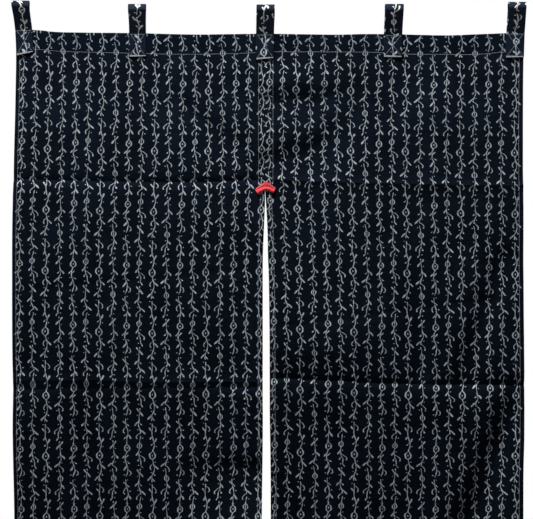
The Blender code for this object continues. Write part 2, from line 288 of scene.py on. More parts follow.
edgeColumns = ("z", "outerX", "innerX")
edgeRows = {
    "left": (
        (-0.040, -0.4146, 0.0),
        (-0.090, -0.4137, 0.0),
        (-0.140, -0.4144, 0.0),
        (-0.192, -0.4154, 0.0),
        (-0.245, -0.4170, 0.0),
        (-0.298, -0.4182, 0.0),
        (-0.311, -0.4186, 0.0),
        (-0.318, -0.4188, -0.0002),
        (-0.335, -0.4192, -0.0004),
        (-0.361, -0.4197, -0.0014),
        (-0.390, -0.4201, -0.0027),
        (-0.424, -0.4202, -0.0039),
        (-0.530, -0.4202, -0.0041),
        (-0.590, -0.4197, -0.0041),
        (-0.640, -0.4184, -0.0042),
        (-0.697, -0.4192, -0.0039),
        (-0.756, -0.4184, -0.0044),
        (-0.822, -0.4172, -0.0053),
        (-0.950, -0.4165, -0.0063),
    ),
    "right": (
        (-0.040, 0.4303, 0.0),
        (-0.085, 0.4289, 0.0),
        (-0.138, 0.4281, 0.0),
        (-0.270, 0.4280, 0.0),
        (-0.300, 0.4284, 0.0),
        (-0.311, 0.4285, 0.0),
        (-0.320, 0.4286, 0.0002),
        (-0.335, 0.4287, 0.0011),
        (-0.350, 0.4287, 0.0021),
        (-0.380, 0.4287, 0.0037),
        (-0.424, 0.4287, 0.0045),
        (-0.460, 0.4290, 0.0058),
        (-0.510, 0.4294, 0.0066),
        (-0.565, 0.4300, 0.0071),
        (-0.620, 0.4307, 0.0073),
        (-0.690, 0.4307, 0.0074),
        (-0.723, 0.4302, 0.0080),
        (-0.776, 0.4287, 0.0088),
        (-0.822, 0.4282, 0.0090),
        (-0.950, 0.4277, 0.0094),
    ),
}

# Creases from packing cross each panel, each with its slope and reach above and below the line. A
# positive slope looks up and catches the light, a negative one looks down and goes dark, so the
# creases that were folded to the back are troughs and those folded to the front are ridges.
creaseColumns = ("x", "z", "upperSlope", "lowerSlope", "upperWidth", "lowerWidth")
creaseRows = (
    ("left", (
        (-0.430, -0.2900, -0.32, 0.74, 0.0055, 0.0080),
        (-0.366, -0.2911, -0.32, 0.80, 0.0050, 0.0080),
        (-0.283, -0.2930, -0.34, 0.58, 0.0055, 0.0080),
        (-0.200, -0.2948, -0.30, 0.50, 0.0060, 0.0075),
        (-0.117, -0.2950, -0.46, 0.74, 0.0060, 0.0075),
        (-0.042, -0.2918, -0.46, 0.74, 0.0065, 0.0080),
        (-0.016, -0.2912, -0.40, 0.64, 0.0065, 0.0080),
        (0.0, -0.2910, 0.0, 0.0, 0.0070, 0.0080),
    )),
    ("left", (
        (-0.430, -0.6235, 0.24, -0.17, 0.0090, 0.0160),
        (-0.366, -0.6233, 0.24, -0.17, 0.0090, 0.0160),
        (-0.283, -0.6233, 0.32, -0.18, 0.0085, 0.0160),
        (-0.200, -0.6265, 0.20, -0.20, 0.0070, 0.0160),
        (-0.117, -0.6260, 0.34, -0.18, 0.0090, 0.0160),
        (0.010, -0.6262, 0.34, -0.18, 0.0100, 0.0160),
    )),
    ("left", (
        (-0.430, -0.6388, -0.08, 0.52, 0.0100, 0.0055),
        (-0.366, -0.6386, -0.08, 0.52, 0.0100, 0.0055),
        (-0.283, -0.6378, -0.12, 0.16, 0.0100, 0.0050),
        (-0.200, -0.6366, -0.12, 0.38, 0.0100, 0.0050),
        (-0.117, -0.6366, -0.12, 0.22, 0.0100, 0.0050),
        (-0.042, -0.6355, -0.10, 0.95, 0.0100, 0.0065),
        (0.010, -0.6350, -0.10, 0.95, 0.0100, 0.0065),
    )),
    ("right", (
        (0.0, -0.2905, 0.0, 0.0, 0.0070, 0.0110),
        (0.018, -0.2908, 0.44, -0.40, 0.0070, 0.0110),
        (0.046, -0.2918, 0.50, -0.44, 0.0065, 0.0110),
        (0.116, -0.2948, 0.32, -0.36, 0.0070, 0.0090),
        (0.199, -0.2968, 0.36, -0.24, 0.0070, 0.0070),
        (0.282, -0.2986, 0.40, -0.28, 0.0070, 0.0150),
        (0.373, -0.3002, 0.50, -0.20, 0.0075, 0.0090),
        (0.440, -0.3010, 0.50, -0.20, 0.0075, 0.0090),
    )),
    ("right", (
        (-0.010, -0.6192, -0.38, 0.85, 0.0050, 0.0085),
        (0.043, -0.6205, -0.38, 0.85, 0.0050, 0.0085),
        (0.116, -0.6243, -0.30, 0.60, 0.0060, 0.0085),
        (0.199, -0.6290, -0.34, 0.75, 0.0080, 0.0070),
        (0.282, -0.6312, -0.44, 0.60, 0.0075, 0.0085),
        (0.373, -0.6312, -0.42, 1.00, 0.0085, 0.0080),
        (0.440, -0.6316, -0.42, 1.00, 0.0085, 0.0080),
    )),
)
creaseBend = 0.0006  # how sharply a crease turns
creaseSpread = 0.10  # the cloth is back in its plane this far above and below
creaseReach = 0.0090  # the grid's lines are this close to a crease where they are closer together
creaseStep = 0.0011

# Soft ridges and troughs along straight lines: both ends of the line, the half width to the left
# and to the right of it as it runs, and the push towards the front at each end. Rows with one name
# after each other are one bent fold.
foldColumns = (
    "name", "side", "x1", "z1", "x2", "z2", "leftWidth", "rightWidth", "push1", "push2"
)
foldRows = (
    ("left shoulder drag", "both", -0.146, -0.166, -0.050, -0.235, 0.018, 0.036, -0.0032, -0.0042),
    ("right shoulder drag", "both", 0.014, -0.264, 0.060, -0.252, 0.024, 0.050, -0.0066, -0.0068),
    ("right shoulder drag", "both", 0.060, -0.252, 0.096, -0.236, 0.024, 0.050, -0.0068, -0.0068),
    ("right shoulder drag", "both", 0.096, -0.236, 0.148, -0.184, 0.024, 0.050, -0.0068, -0.0034),
    ("right heading ridge", "both", 0.014, -0.128, 0.100, -0.126, 0.018, 0.020, 0.0036, 0.002),
    ("right heading drag", "both", 0.014, -0.166, 0.090, -0.162, 0.018, 0.040, -0.0026, -0.003),
    ("right heading drag", "both", 0.090, -0.162, 0.168, -0.144, 0.018, 0.040, -0.003, -0.0016),
    ("right upper swell", "right", 0.282, -0.170, 0.300, -0.190, 0.040, 0.040, 0.0034, 0.003),
    ("right slit swell", "right", 0.060, -0.560, 0.100, -0.570, 0.095, 0.085, 0.010, 0.010),
    ("left slit curl", "left", -0.004, -0.370, -0.004, -0.740, 0.024, 0.024, 0.004, 0.004),
    ("left hem dimple", "left", -0.118, -0.774, -0.010, -0.772, 0.020, 0.034, -0.0034, -0.0054),
    ("left hem swell", "left", -0.095, -0.884, -0.004, -0.874, 0.046, 0.060, 0.0095, 0.0135),
    ("left corner curl", "left", -0.422, -0.800, -0.418, -0.950, 0.020, 0.024, -0.002, -0.0065),
    ("right edge drag", "right", 0.401, -0.400, 0.396, -0.425, 0.024, 0.020, -0.001, -0.0046),
    ("right edge drag", "right", 0.396, -0.425, 0.348, -0.566, 0.024, 0.020, -0.0046, -0.006),
    ("right edge drag", "right", 0.348, -0.566, 0.330, -0.622, 0.024, 0.020, -0.006, -0.006),
    ("right middle drag", "right", 0.248, -0.470, 0.262, -0.612, 0.015, 0.014, -0.001, -0.005),
    ("right corner drag", "right", 0.416, -0.655, 0.384, -0.738, 0.030, 0.023, -0.0075, -0.0118),
    ("right corner drag", "right", 0.384, -0.738, 0.340, -0.868, 0.032, 0.028, -0.0118, -0.015),
    ("right corner swell", "right", 0.424, -0.820, 0.428, -0.950, 0.040, 0.040, 0.003, 0.007),
    ("first left flute", "left", -0.372, -0.330, -0.365, -0.950, 0.042, 0.042, 0.0, 0.0062),
    ("second left flute", "left", -0.285, -0.350, -0.272, -0.950, 0.045, 0.045, 0.0, -0.0058),
    ("third left flute", "left", -0.190, -0.360, -0.168, -0.950, 0.048, 0.048, 0.0, 0.007),
    ("first right flute", "right", 0.048, -0.580, 0.060, -0.950, 0.040, 0.040, 0.0, -0.005),
    ("second right flute", "right", 0.132, -0.600, 0.146, -0.950, 0.044, 0.044, 0.0, 0.0072),
    ("third right flute", "right", 0.226, -0.600, 0.232, -0.950, 0.040, 0.040, 0.0, -0.0044),
    ("first heading ripple", "left", -0.310, -0.045, -0.300, -0.200, 0.055, 0.055, 0.0014, 0.0004),
    ("second heading ripple", "left", -0.108, -0.045, -0.112, -0.180, 0.050, 0.050, -0.0013, -0.0003),
    ("third heading ripple", "right", 0.110, -0.045, 0.104, -0.120, 0.050, 0.050, 0.0013, 0.0004),
    ("fourth heading ripple", "right", 0.312, -0.045, 0.318, -0.200, 0.055, 0.055, -0.0012, -0.0003),
    ("left soft crease", "left", -0.400, -0.4755, -0.030, -0.440, 0.007, 0.008, -0.001, -0.0008),
    ("right soft crease", "right", 0.020, -0.5355, 0.380, -0.489, 0.007, 0.008, -0.0008, -0.001),
)

# Cotton that has been washed and hung is never quite flat between its folds
cockle = {
    "waves": 34,
    "shortest": 0.022,
    "longest": 0.085,
    "height": 0.00013,
    "lengthBias": 1.5,  # above 1, so that short waves are more common
    "heightSpread": (0.5, 1.5),
    "phases": 6.28,
    "turnSpread": 0.55,  # most of them run down the cloth
    "seed": 11,
}

# Sewing draws the cloth in: it ripples along each line of stitches, and the line itself sinks
pucker = {
    "height": 0.00022,
    "ripple": 0.0115,
    "uneven": 41.0,
    "wander": 3.0,
    "reach": 0.0070,
    "sink": 0.00018,
    "sinkWidth": 0.0011,
}

# How far in from its edge each hem is stitched
stitchLines = {
    "heading": 0.0325,
    "headingFlat": 0.0040,  # above and below the heading's line, where all of it is shifted
    "headingEase": 0.0300,  # below the heading's line, over which the cloth is even again
    "bottom": 0.0185,
    "outer": {"left": 0.0064, "right": 0.0072},
    "inner": {"left": 0.0076, "right": 0.0094},
    "seamExtra": 0.0035,  # the seam takes more of the cloth in than the slit's hem does
}

tabs = table(tabColumns, tabRows)
creases = [
    {"side": side, **dict(zip(creaseColumns, np.array(rows).T))} for side, rows in creaseRows
]
folds = table(foldColumns, foldRows)
topLevel = sum(tab["headingZ"] for tab in tabs) / len(tabs)
clothHeight = topLevel - curtain["bottomZ"]
clothWidth = {side: abs(rows[0][1]) for side, rows in edgeRows.items()}
panelMiddle = 0.2


def makeCockle():
    draw = np.random.default_rng(cockle["seed"])
    waves = []
    for _ in range(cockle["waves"]):
        share = draw.random() ** cockle["lengthBias"]
        length = cockle["shortest"] + (cockle["longest"] - cockle["shortest"]) * share
        angle = draw.normal(0.0, cockle["turnSpread"])
        height = cockle["height"] * length / cockle["longest"] * draw.uniform(*cockle["heightSpread"])
        turn = 2 * math.pi / length
        phase = draw.uniform(0, cockle["phases"])
        waves.append((turn * math.cos(angle), turn * math.sin(angle), phase, height))
    return waves


cockleWaves = makeCockle()


def foldPush(fold, x, z):
    runX = fold["x2"] - fold["x1"]
    runZ = fold["z2"] - fold["z1"]
    along = ((x - fold["x1"]) * runX + (z - fold["z1"]) * runZ) / (runX**2 + runZ**2)
    along = np.clip(along, 0.0, 1.0)
    awayX = x - fold["x1"] - along * runX
    awayZ = z - fold["z1"] - along * runZ
    off = np.hypot(awayX, awayZ)
    leftward = (runX * awayZ - runZ * awayX) / (math.hypot(runX, runZ) * np.maximum(off, 1e-9))
    width = (fold["leftWidth"] + fold["rightWidth"]) / 2
    width = width + (fold["leftWidth"] - fold["rightWidth"]) / 2 * leftward
    push = fold["push1"] + (fold["push2"] - fold["push1"]) * along
    return push * np.exp(-((off / width) ** 2))


def creaseAt(crease, column, x):
    return np.interp(x, crease["x"], crease[column])


def creasePush(crease, x, z):
    off = z - creaseAt(crease, "z", x)
    upperWidth = creaseAt(crease, "upperWidth", x)
    lowerWidth = creaseAt(crease, "lowerWidth", x)
    upper = creaseAt(crease, "upperSlope", x) * upperWidth
    lower = creaseAt(crease, "lowerSlope", x) * lowerWidth
    away = np.sqrt(off**2 + creaseBend**2) - creaseBend
    step = (upper + lower) / 2 * np.exp(-np.abs(off) / creaseSpread)
    above = upper * np.exp(-away / upperWidth) - step
    below = step - lower * np.exp(-away / lowerWidth)
    return np.where(off > 0, above, below)


def pushAt(x, z, side):
    total = np.zeros(np.broadcast(x, z).shape)
    for crease in creases:
        if crease["side"] == side:
            total = total + creasePush(crease, x, z)
    pushes = {}
    for fold in folds:
        if fold["side"] in ("both", side):
            push = foldPush(fold, x, z)
            before = pushes.get(fold["name"], 0.0)
            pushes[fold["name"]] = np.where(np.abs(push) > np.abs(before), push, before)
    return total + sum(pushes.values())


def cockleAt(x, z):
    return sum(height * np.sin(a * x + b * z + c) for a, b, c, height in cockleWaves)


# Values on the smooth curve through a table's rows, whose places rise
def curveThrough(places, values, at):
    places = np.asarray(places)
    values = np.asarray(values)
    at = np.clip(at, places[0], places[-1])
    after = np.clip(np.searchsorted(places, at), 1, len(places) - 1)
    before = after - 1
    slopes = np.empty(len(places))
    slopes[1:-1] = (values[2:] - values[:-2]) / (places[2:] - places[:-2])
    slopes[0] = (values[1] - values[0]) / (places[1] - places[0])
    slopes[-1] = (values[-1] - values[-2]) / (places[-1] - places[-2])
    span = places[after] - places[before]
    share = (at - places[before]) / span
    rest = 1 - share
    start = values[before] * (1 + 2 * share) * rest**2 + slopes[before] * span * share * rest**2
    end = values[after] * share**2 * (3 - 2 * share) - slopes[after] * span * share**2 * rest
    return start + end


def headingTop(x):
    return curveThrough(*zip(*headingRows), x)


# How far the stitched line stands below its even place, eased out above and below it
def headingShift(side, x, level):
    line = stitchLines["heading"]
    flat = stitchLines["headingFlat"]
    extra = curveThrough(*zip(*headingLineRows[side]), x) - line
    drop = topLevel - level
    above = smoothStep(drop, 0.0, line - flat)
    below = 1 - smoothStep(drop, line + flat, line + stitchLines["headingEase"])
    return extra * above * below


def edgeAt(side, level, column):
    rows = edgeRows[side]
    values = [row[edgeColumns.index(column)] for row in rows]
    return curveThrough([-row[0] for row in rows], values, -level)


# Heights of a side's creases in the middle of its panel
def nominalCreases(side):
    middle = panelMiddle if side == "right" else -panelMiddle
    return [float(creaseAt(crease, "z", middle)) for crease in creases if crease["side"] == side]


# Where a place on the cut cloth hangs. across goes from 0 at the outer edge to 1 at the seam, and
# level is a height on the cloth before its rows bend to follow the heading and the creases.
def layCloth(side, across, level):
    outer = edgeAt(side, level, "outerX")
    inner = edgeAt(side, level, "innerX")
    x = outer + (inner - outer) * across
    hung = level - headingShift(side, x, level)
    marks = [topLevel, *nominalCreases(side), curtain["bottomZ"]]
    guides = [headingTop(x)]
    guides += [creaseAt(crease, "z", x) for crease in creases if crease["side"] == side]
    guides.append(np.full(np.shape(x), curtain["bottomZ"]))
    z = guides[0] + 0 * x
    for above, below, top, foot in zip(marks, marks[1:], guides, guides[1:]):
        share = (above - hung) / (above - below)
        z = np.where(hung <= above, top + (foot - top) * share, z)
    return x, z, hung


# How far in from the slit or seam its stitches run, at each level
def innerStitches(side, level):
    top = curtain["slitTopZ"]
    sewnSeam = smoothStep(level, top - curtain["slitEase"], top + curtain["slitEase"])
    return stitchLines["inner"][side] + stitchLines["seamExtra"] * sewnSeam


# Front and back of the cloth at a place on it, with its hems, ripples and sunk stitch lines
def clothFaces(side, across, level):
    x, z, _ = layCloth(side, across, level)
    width = clothWidth[side]
    fromOuter = across * width
    fromInner = (1 - across) * width
    fromTop = topLevel - level
    fromBottom = level - curtain["bottomZ"]
    innerLine = innerStitches(side, level)
    lines = (
        (fromTop - stitchLines["heading"], x),
        (fromBottom - stitchLines["bottom"], x),
        (fromOuter - stitchLines["outer"][side], z),
        (fromInner - innerLine, z),
    )
    detail = cockleAt(x, z)
    for off, along in lines:
        wander = pucker["wander"] * np.sin(along * pucker["uneven"])
        ripple = np.sin(2 * math.pi * along / pucker["ripple"] + wander)
        detail = detail + pucker["height"] * ripple * np.exp(-((off / pucker["reach"]) ** 2))
        detail = detail - pucker["sink"] * np.exp(-((off / pucker["sinkWidth"]) ** 2))
    hems = (
        (fromTop, curtain["headingHem"]),
        (fromBottom, curtain["bottomHem"]),
        (fromOuter, curtain["sideHem"]),
        (fromInner, innerLine + curtain["foldedEdge"]),
    )
    inHem = np.maximum.reduce([
        1 - smoothStep(place, hem, hem + curtain["hemStep"]) for place, hem in hems
    ])
    thin = curtain["clothThickness"]
    thickness = thin + (curtain["hemThickness"] - thin) * inHem
    front = curtain["frontY"] - pushAt(x, z, side) - detail
    return x, z, front, front + thickness


# Distances of a grid's lines along one side: rims, hem lines and close lines are kept, and even
# lines fill the rest
def gridLines(length, kept, closeAt=()):
    rim = curtain["rimRadius"] * np.array(curtain["rimSteps"])
    lines = [*rim, *(length - rim), *kept]
    for middle in closeAt:
        count = round(creaseReach / creaseStep)
        lines += [middle + creaseStep * step for step in range(-count, count + 1)]
    lines.sort()
    spaced = []
    for start, end in zip(lines, lines[1:]):
        parts = max(1, round((end - start) / curtain["gridStep"]))
        spaced += [start + (end - start) * part / parts for part in range(parts)]
    return np.array([*spaced, length])


def makePanel(side, name, node, frontMaterial, backMaterial):
    width = clothWidth[side]
    outer = stitchLines["outer"][side]
    inner = width - stitchLines["inner"][side]
    step = curtain["hemStep"]
    beside = curtain["besideStitches"]
    folded = curtain["foldedEdge"]
    places = gridLines(width, [
        outer - curtain["outsideStitches"], outer, outer + beside, curtain["sideHem"] + step,
        inner - folded - step, inner - folded, inner, inner + folded,
    ])
    heading = stitchLines["heading"]
    bottom = clothHeight - stitchLines["bottom"]
    bottomHem = clothHeight - curtain["bottomHem"]
    drops = gridLines(clothHeight, [
        heading - beside, heading, curtain["headingHem"], curtain["headingHem"] + step,
        bottomHem - step, bottomHem, bottom, bottom + beside,
    ], [topLevel - level for level in nominalCreases(side)])
    across = places / width
    if side == "right":
        across = across[::-1]
    across, level = np.meshgrid(across, topLevel - drops)
    x, z, front, back = clothFaces(side, across, level)
    radius = curtain["rimRadius"]
    fromEdge = np.minimum.reduce([
        across * width, (1 - across) * width, topLevel - level, level - curtain["bottomZ"]
    ])
    rounding = 1 - np.sqrt(1 - np.clip(1 - fromEdge / radius, 0.0, 1.0) ** 2)
    inset = (back - front) / 2 * rounding
    front = front + inset
    back = back - inset
    inRim = (1 - across) * width < radius + curtain["rimSlack"]
    nearSeam = inRim & (level > curtain["slitTopZ"])
    innerX = edgeAt(side, level, "innerX")
    x = np.where(nearSeam, innerX + (x - innerX) * curtain["seamRim"], x)
    rows, columns = x.shape
    frontIndex = np.arange(rows * columns).reshape(rows, columns)
    backIndex = frontIndex.copy()
    inside = (slice(1, -1), slice(1, -1))
    backIndex[inside] = rows * columns + np.arange((rows - 2) * (columns - 2)).reshape(rows - 2, -1)
    points = np.concatenate([
        np.stack([x, front, z], -1).reshape(-1, 3),
        np.stack([x[inside], back[inside], z[inside]], -1).reshape(-1, 3),
    ])
    hung = layCloth(side, across, level)[2]
    flatX = np.sign(edgeRows[side][0][1]) * (1 - across) * width
    columnStart = vine["columnMiddle"][side] - vine["pitch"] / 2
    printX = (flatX - columnStart) / vine["stretch"][side]
    lay = np.stack([printX + vine["columnsLeft"] * vine["pitch"], vine["layTop"] - hung], -1)
    lay = np.concatenate([lay.reshape(-1, 2), lay[inside].reshape(-1, 2)])
    faces = []
    for index, order in ((frontIndex, (0, 1, 2, 3)), (backIndex, (0, 3, 2, 1))):
        corners = [index[:-1, :-1], index[1:, :-1], index[1:, 1:], index[:-1, 1:]]
        faces += np.stack([corners[turn] for turn in order], -1).reshape(-1, 4).tolist()
    sides = np.repeat([0, 1], len(faces) // 2)
    panel = addPiece(name, points.tolist(), faces, [frontMaterial, backMaterial], sides, lay)
    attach(panel, "root")
    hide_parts(node)
    return panel


# Tabs: each a strip folded lengthwise to two layers, bent over the rod's place and sewn down in
# front and behind

tab = {
    "thickness": 0.0018,
    "rodRadius": 0.0125,
    "gap": 0.0003,
    "legStep": 0.0014,
    "arcSteps": 44,
    "acrossSteps": 16,
    "edgeSteps": 8,
    "foldNotch": 0.00032,  # the groove between the two layers along the open edge
    "notchHalf": 0.3,
    "endFlatness": (0.45, 0.82, 1.0),  # how thick the strip is at its pressed ends, step by step
    "neckRise": 0.012,  # the neck's height above the heading
    "looseRise": 0.002,  # the two legs part from this height above the heading
    "loopDrop": 0.012,  # and come together again this far below the top
    "backShare": (0.5, 0.56),  # the part of its length over which it turns from front to back
    "firstColumn": 60.5,  # in which columns of the print the tabs are cut, and how far down
    "columnsApart": 3,
    "printDrop": 0.037,
}


# The tab's inner face in its own y and z, from the front foot over the rod's place to the back foot
def tabPath(row):
    radius = tab["rodRadius"]
    centreZ = row["topZ"] - tab["thickness"] - radius
    headingZ = row["headingZ"]
    footZ = headingZ - row["lap"]
    legY = tab["gap"] - curtain["frontY"]
    drop = centreZ - headingZ
    lean = math.asin(radius / math.hypot(drop, legY)) - math.atan2(legY, drop)
    tangentY = radius * math.cos(lean)
    tangentZ = centreZ + radius * math.sin(lean)
    legCount = round(row["lap"] / tab["legStep"])
    riseCount = round((tangentZ - headingZ) / tab["legStep"])
    half = [(legY, footZ + row["lap"] * part / legCount) for part in range(legCount)]
    for part in range(riseCount):
        share = part / riseCount
        half.append((legY + (tangentY - legY) * share, headingZ + (tangentZ - headingZ) * share))
    arc = []
    for step in range(tab["arcSteps"] + 1):
        angle = math.pi - lean + (2 * lean - math.pi) * step / tab["arcSteps"]
        arc.append((radius * math.cos(angle), centreZ + radius * math.sin(angle)))
    front = [(-y, z) for y, z in half]
    return np.array(front + arc + half[::-1])


# A tab's outline around its own path: share across it, how far past its edge, and out from its
# inner face. It goes over the outer face, the open edge, the inner face and the folded edge.
def tabSection():
    radius = tab["thickness"] / 2
    section = []
    for side, out in ((1, tab["thickness"]), (-1, 0.0)):
        for part in range(tab["acrossSteps"] + 1):
            section.append((side * (part / tab["acrossSteps"] - 0.5), 0.0, out))
        for part in range(1, tab["edgeSteps"]):
            angle = math.radians(side * 90 - 180 * part / tab["edgeSteps"])
            reach = radius * abs(math.cos(angle))
            if side == 1 and abs(math.sin(angle)) < tab["notchHalf"]:
                reach -= tab["foldNotch"]
            section.append((side * 0.5, side * reach, radius + radius * math.sin(angle)))
    return section


def tabWidthAt(row, z):
    neckZ = row["headingZ"] + tab["neckRise"]
    footZ = row["headingZ"] - row["lap"]
    neck = row["neckWidth"]
    upper = neck + (row["topWidth"] - neck) * smoothStep(z, neckZ, row["topZ"])
    lower = neck + (row["footWidth"] - neck) * smoothStep(-z, -neckZ, -footZ)
    return np.where(z > neckZ, upper, lower)


# x and z of a place on a tab: share goes from -0.5 at its left edge to 0.5 at its right
def tabPlace(row, share, z, back):
    footZ = row["headingZ"] - row["lap"]
    rise = (z - footZ) / (row["topZ"] - footZ)
    middle = row["footX"] + (row["topX"] - row["footX"]) * rise
    middle = middle + row["bow"] * 4 * rise * (1 - rise)
    loopZ = row["topZ"] - tab["loopDrop"]
    loose = smoothStep(z, row["headingZ"] + tab["looseRise"], loopZ)
    loose = loose * (1 - smoothStep(z, loopZ, row["topZ"]))
    middle = middle + row["backSplay"] * back * loose
    width = tabWidthAt(row, z) - tab["thickness"]
    slope = share * row["footRise"] * np.maximum(0.0, 1 - rise * 2)
    return middle + share * width, z + slope


def makeTab(row, material):
    path = tabPath(row)
    steps = unitRows(np.gradient(path, axis=0))
    run = runAlong(path)
    side = "left" if row["footX"] < 0 else "right"
    section = tabSection()
    points = []
    lay = []
    count = len(path)
    for index, ((y, z), (stepY, stepZ)) in enumerate(zip(path, steps)):
        toEnd = min(index, count - 1 - index, len(tab["endFlatness"]) - 1)
        flatten = tab["endFlatness"][toEnd]
        back = float(smoothStep(run[index] / run[-1], *tab["backShare"]))
        for share, beyond, out in section:
            out = tab["thickness"] / 2 + (out - tab["thickness"] / 2) * flatten
            outY = -stepZ * out
            outZ = stepY * out
            x, placeZ = tabPlace(row, share, z, back)
            x = x + beyond * flatten
            lift = float(pushAt(np.array(x), np.array(min(z, row["headingZ"])), side))
            points.append((float(x), y + outY - lift, float(placeZ) + outZ))
            lay.append((share * row["neckWidth"] + beyond - row["printShift"], run[index]))
    number = tabs.index(row)
    columnPlace = (tab["firstColumn"] + tab["columnsApart"] * number) * vine["pitch"]
    lay = np.array(lay) + (columnPlace, tab["printDrop"] * (1 + number))
    strap = addPiece(row["name"], points, tubeFaces(count, len(section)), [material], None, lay)
    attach(strap, "root")
    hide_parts(row["node"])
    return strap


# Stitches: short arched threads that dive into the cloth at both ends

stitch = {
    "pitch": 0.0026,
    "length": 0.0027,
    "radius": 0.00030,
    "sides": 5,
    "lookAhead": 0.001,
    "samples": 500,
}

# A stitch's rings: place along its length, size and height as shares of the thread's radius
stitchRings = (
    (-0.5, 0.35, -0.9), (-0.34, 0.9, 0.35), (0.0, 1.0, 0.65), (0.34, 0.9, 0.35), (0.5, 0.35, -0.9),
)


# points: middle of each stitch; along: unit vectors down the line; out: unit vectors off the cloth
def stitchMesh(points, along, out, length, radius):
    across = unitRows(np.cross(along, out))
    sides = stitch["sides"]
    rings = []
    for place, size, lift in stitchRings:
        middle = points + along * (place * length) + out * (lift * radius)
        for side in range(sides):
            angle = 2 * math.pi * side / sides
            ray = across * math.cos(angle) + out * math.sin(angle)
            rings.append(middle + ray * (size * radius))
    faces = []
    for start in range(0, len(points) * len(rings), len(rings)):
        faces += tubeFaces(len(stitchRings), sides, start)
    return np.stack(rings, 1).reshape(-1, 3), faces


# One line of stitches over a path of cloth places: both faces, one stitch each pitch
def seamRun(side, across, level, pitch):
    x, z, front, back = clothFaces(side, across, level)
    run = runAlong(np.stack([x, z], -1))
    places = np.arange(pitch, run[-1] - pitch, pitch)
    found = []
    for face, way in ((front, -1.0), (back, 1.0)):
        middle, ahead = (
            np.stack([np.interp(at, run, values) for values in (x, face, z)], -1)
            for at in (places, places + stitch["lookAhead"])
        )
        out = np.tile([0.0, way, 0.0], (len(places), 1))
        found.append((middle, unitRows(ahead - middle), out))
    return found


# Many runs of stitches as one piece
def makeSewing(name, meshes, material):
    vertices = []
    faces = []
    for points, polygons in meshes:
        start = len(vertices)
        vertices += points.tolist()
        faces += [[index + start for index in face] for face in polygons]
    sewing = addPiece(name, vertices, faces, [material])
    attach(sewing, "root")
    return sewing


def makePanelStitches(side, name, material):
    width = clothWidth[side]
    count = stitch["samples"]
    even = np.linspace(0.0, 1.0, count)
    levels = topLevel + (curtain["bottomZ"] - topLevel) * even
    innerLine = innerStitches(side, levels)
    level = np.full(count, topLevel - stitchLines["heading"])
    low = np.full(count, curtain["bottomZ"] + stitchLines["bottom"])
    outer = np.full(count, stitchLines["outer"][side] / width)
    lines = ((even, level), (even, low), (outer, levels), (1 - innerLine / width, levels))
    meshes = []
    for across, heights in lines:
        for middle, along, out in seamRun(side, across, heights, stitch["pitch"]):
            meshes.append(stitchMesh(middle, along, out, stitch["length"], stitch["radius"]))
    return makeSewing(name, meshes, material)


tabSewing = {
    "inset": 0.0015,
    "headTop": 0.0026,  # below the heading's top edge
    "crossInset": 0.0020,
    "crossLow": 0.0033,  # above the foot
    "footRows": (0.0006, 0.0013, 0.0020),
    "footHalf": 0.49,
    "footSlant": 0.00035,
    "footRadius": 0.00048,
    "footPitch": 0.0021,
    "footLength": 0.0024,
}


# Straight lines of stitches on one face of a tab, between places given as share across and height
def tabLine(row, start, end, way, pitch, length, radius):
    side = "left" if row["footX"] < 0 else "right"
    footZ = row["headingZ"] - row["lap"]
    ends = []
    for share, drop in (start, end):
        x, z = tabPlace(row, share, footZ + drop, 0.0)
        ends.append((float(x), float(z)))
    (startX, startZ), (endX, endZ) = ends
    run = math.hypot(endX - startX, endZ - startZ)
    count = max(2, round(run / pitch))
    share = (np.arange(count) + 0.5) / count
    x = startX + (endX - startX) * share
    z = startZ + (endZ - startZ) * share
    faceY = way * (tab["gap"] + tab["thickness"] - curtain["frontY"])
    middle = np.stack([x, faceY - pushAt(x, z, side), z], -1)
    along = np.tile([(endX - startX) / run, 0.0, (endZ - startZ) / run], (count, 1))
    out = np.tile([0.0, way, 0.0], (count, 1))
    return stitchMesh(middle, along, out, length, radius)


# Each tab's top line and cross, and the heavier stitches along its foot
def makeTabStitches(name, footName, material, footMaterial):
    meshes = []
    footMeshes = []
    foot = tabSewing["footHalf"]
    for row in tabs:
        top = row["lap"] - tabSewing["headTop"]
        low = tabSewing["crossLow"]
        edge = 0.5 - tabSewing["inset"] / row["neckWidth"]
        corner = 0.5 - tabSewing["crossInset"] / row["neckWidth"]
        for way in (-1.0, 1.0):
            for start, end in (
                ((-edge, top), (edge, top)),
                ((-corner, top), (corner, low)),
                ((corner, top), (-corner, low)),
            ):
                meshes.append(tabLine(
                    row, start, end, way, stitch["pitch"], stitch["length"], stitch["radius"]
                ))
            for turn, drop in enumerate(tabSewing["footRows"]):
                slant = tabSewing["footSlant"] * (turn - 1)
                footMeshes.append(tabLine(
                    row, (-foot, drop + slant), (foot, drop - slant), way,
                    tabSewing["footPitch"], tabSewing["footLength"], tabSewing["footRadius"],
                ))
    makeSewing(name, meshes, material)
    makeSewing(footName, footMeshes, footMaterial)


